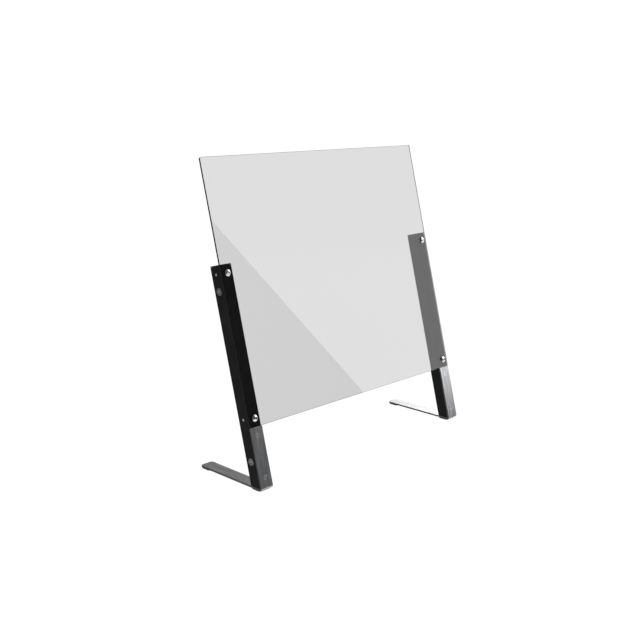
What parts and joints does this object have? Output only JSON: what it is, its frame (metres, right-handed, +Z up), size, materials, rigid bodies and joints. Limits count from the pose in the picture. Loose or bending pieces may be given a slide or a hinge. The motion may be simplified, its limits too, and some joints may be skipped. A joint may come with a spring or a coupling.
{
  "type": "desk privacy panel",
  "caption": "Free-standing desk screen: a smoke-tinted clear sheet that leans back on black posts and bent steel feet, fixed with dome-head screws.",
  "frame": {"origin": "on the desk, under the middle of the object's box", "axes": "+X to the right as seen from the front, +Y back towards the feet's ends, +Z up; the sheet's front faces -Y and leans back 14.5 degrees"},
  "size_m": [0.65, 0.1944, 0.6593],
  "materials": {
    "sheet": "polished smoke-tinted clear sheet with ground edges",
    "strip": "stainless strip brushed along its length",
    "post": "satin black coating on aluminium tube",
    "cap": "fine-grained black plastic",
    "core": "sawn and drilled bar",
    "bright_screw": "polished stainless steel",
    "side_screw": "turned stainless steel",
    "rubber": "soft black rubber"
  },
  "bodies": {
    "frame": {"panel": "sheet", "foot_strip_left": "strip", "post_left": "post", "post_cap_left": "cap", "upper_core_left": "core", "lower_core_left": "core", "front_pad_left": "rubber", "tail_pad_left": "rubber", "set_screw_left_top": "side_screw", "side_screw_left_top": "side_screw", "strip_screw_left_top": "bright_screw", "set_screw_left_bottom": "side_screw", "side_screw_left_bottom": "side_screw", "strip_screw_left_bottom": "bright_screw", "foot_strip_right": "strip", "post_right": "post", "post_cap_right": "cap", "upper_core_right": "core", "lower_core_right": "core", "front_pad_right": "rubber", "tail_pad_right": "rubber", "set_screw_right_top": "side_screw", "side_screw_right_top": "side_screw", "strip_screw_right_top": "bright_screw", "set_screw_right_bottom": "side_screw", "side_screw_right_bottom": "side_screw", "strip_screw_right_bottom": "bright_screw"},
    "left_top_washer": {"washer_left_top": "rubber"},
    "left_top_screw": {"panel_screw_left_top": "bright_screw"},
    "left_bottom_washer": {"washer_left_bottom": "rubber"},
    "left_bottom_screw": {"panel_screw_left_bottom": "bright_screw"},
    "right_top_washer": {"washer_right_top": "rubber"},
    "right_top_screw": {"panel_screw_right_top": "bright_screw"},
    "right_bottom_washer": {"washer_right_bottom": "rubber"},
    "right_bottom_screw": {"panel_screw_right_bottom": "bright_screw"}
  },
  "joints": [
    {"name": "left_top_withdraw", "type": "slide", "parent": "frame", "child": "left_top_washer", "axis": [0, -0.9681, 0.2504], "range_m": [0, 0.01125]},
    {"name": "left_top_turn", "type": "hinge", "parent": "left_top_washer", "child": "left_top_screw", "pos_m": [-0.30925, 0.01251, 0.43297], "axis": [0, -0.9681, 0.2504], "range_deg": [0, 3240]},
    {"name": "left_bottom_withdraw", "type": "slide", "parent": "frame", "child": "left_bottom_washer", "axis": [0, -0.9681, 0.2504], "range_m": [0, 0.01125]},
    {"name": "left_bottom_turn", "type": "hinge", "parent": "left_bottom_washer", "child": "left_bottom_screw", "pos_m": [-0.30925, -0.06173, 0.14591], "axis": [0, -0.9681, 0.2504], "range_deg": [0, 3240]},
    {"name": "right_top_withdraw", "type": "slide", "parent": "frame", "child": "right_top_washer", "axis": [0, -0.9681, 0.2504], "range_m": [0, 0.01125]},
    {"name": "right_top_turn", "type": "hinge", "parent": "right_top_washer", "child": "right_top_screw", "pos_m": [0.30925, 0.01251, 0.43297], "axis": [0, -0.9681, 0.2504], "range_deg": [0, 3240]},
    {"name": "right_bottom_withdraw", "type": "slide", "parent": "frame", "child": "right_bottom_washer", "axis": [0, -0.9681, 0.2504], "range_m": [0, 0.01125]},
    {"name": "right_bottom_turn", "type": "hinge", "parent": "right_bottom_washer", "child": "right_bottom_screw", "pos_m": [0.30925, -0.06173, 0.14591], "axis": [0, -0.9681, 0.2504], "range_deg": [0, 3240]}
  ],
  "couplings": [
    {"joint": "left_top_turn", "follows": "left_top_withdraw", "rad_per_m": 5026.5},
    {"joint": "left_bottom_turn", "follows": "left_bottom_withdraw", "rad_per_m": 5026.5},
    {"joint": "right_top_turn", "follows": "right_top_withdraw", "rad_per_m": 5026.5},
    {"joint": "right_bottom_turn", "follows": "right_bottom_withdraw", "rad_per_m": 5026.5}
  ]
}
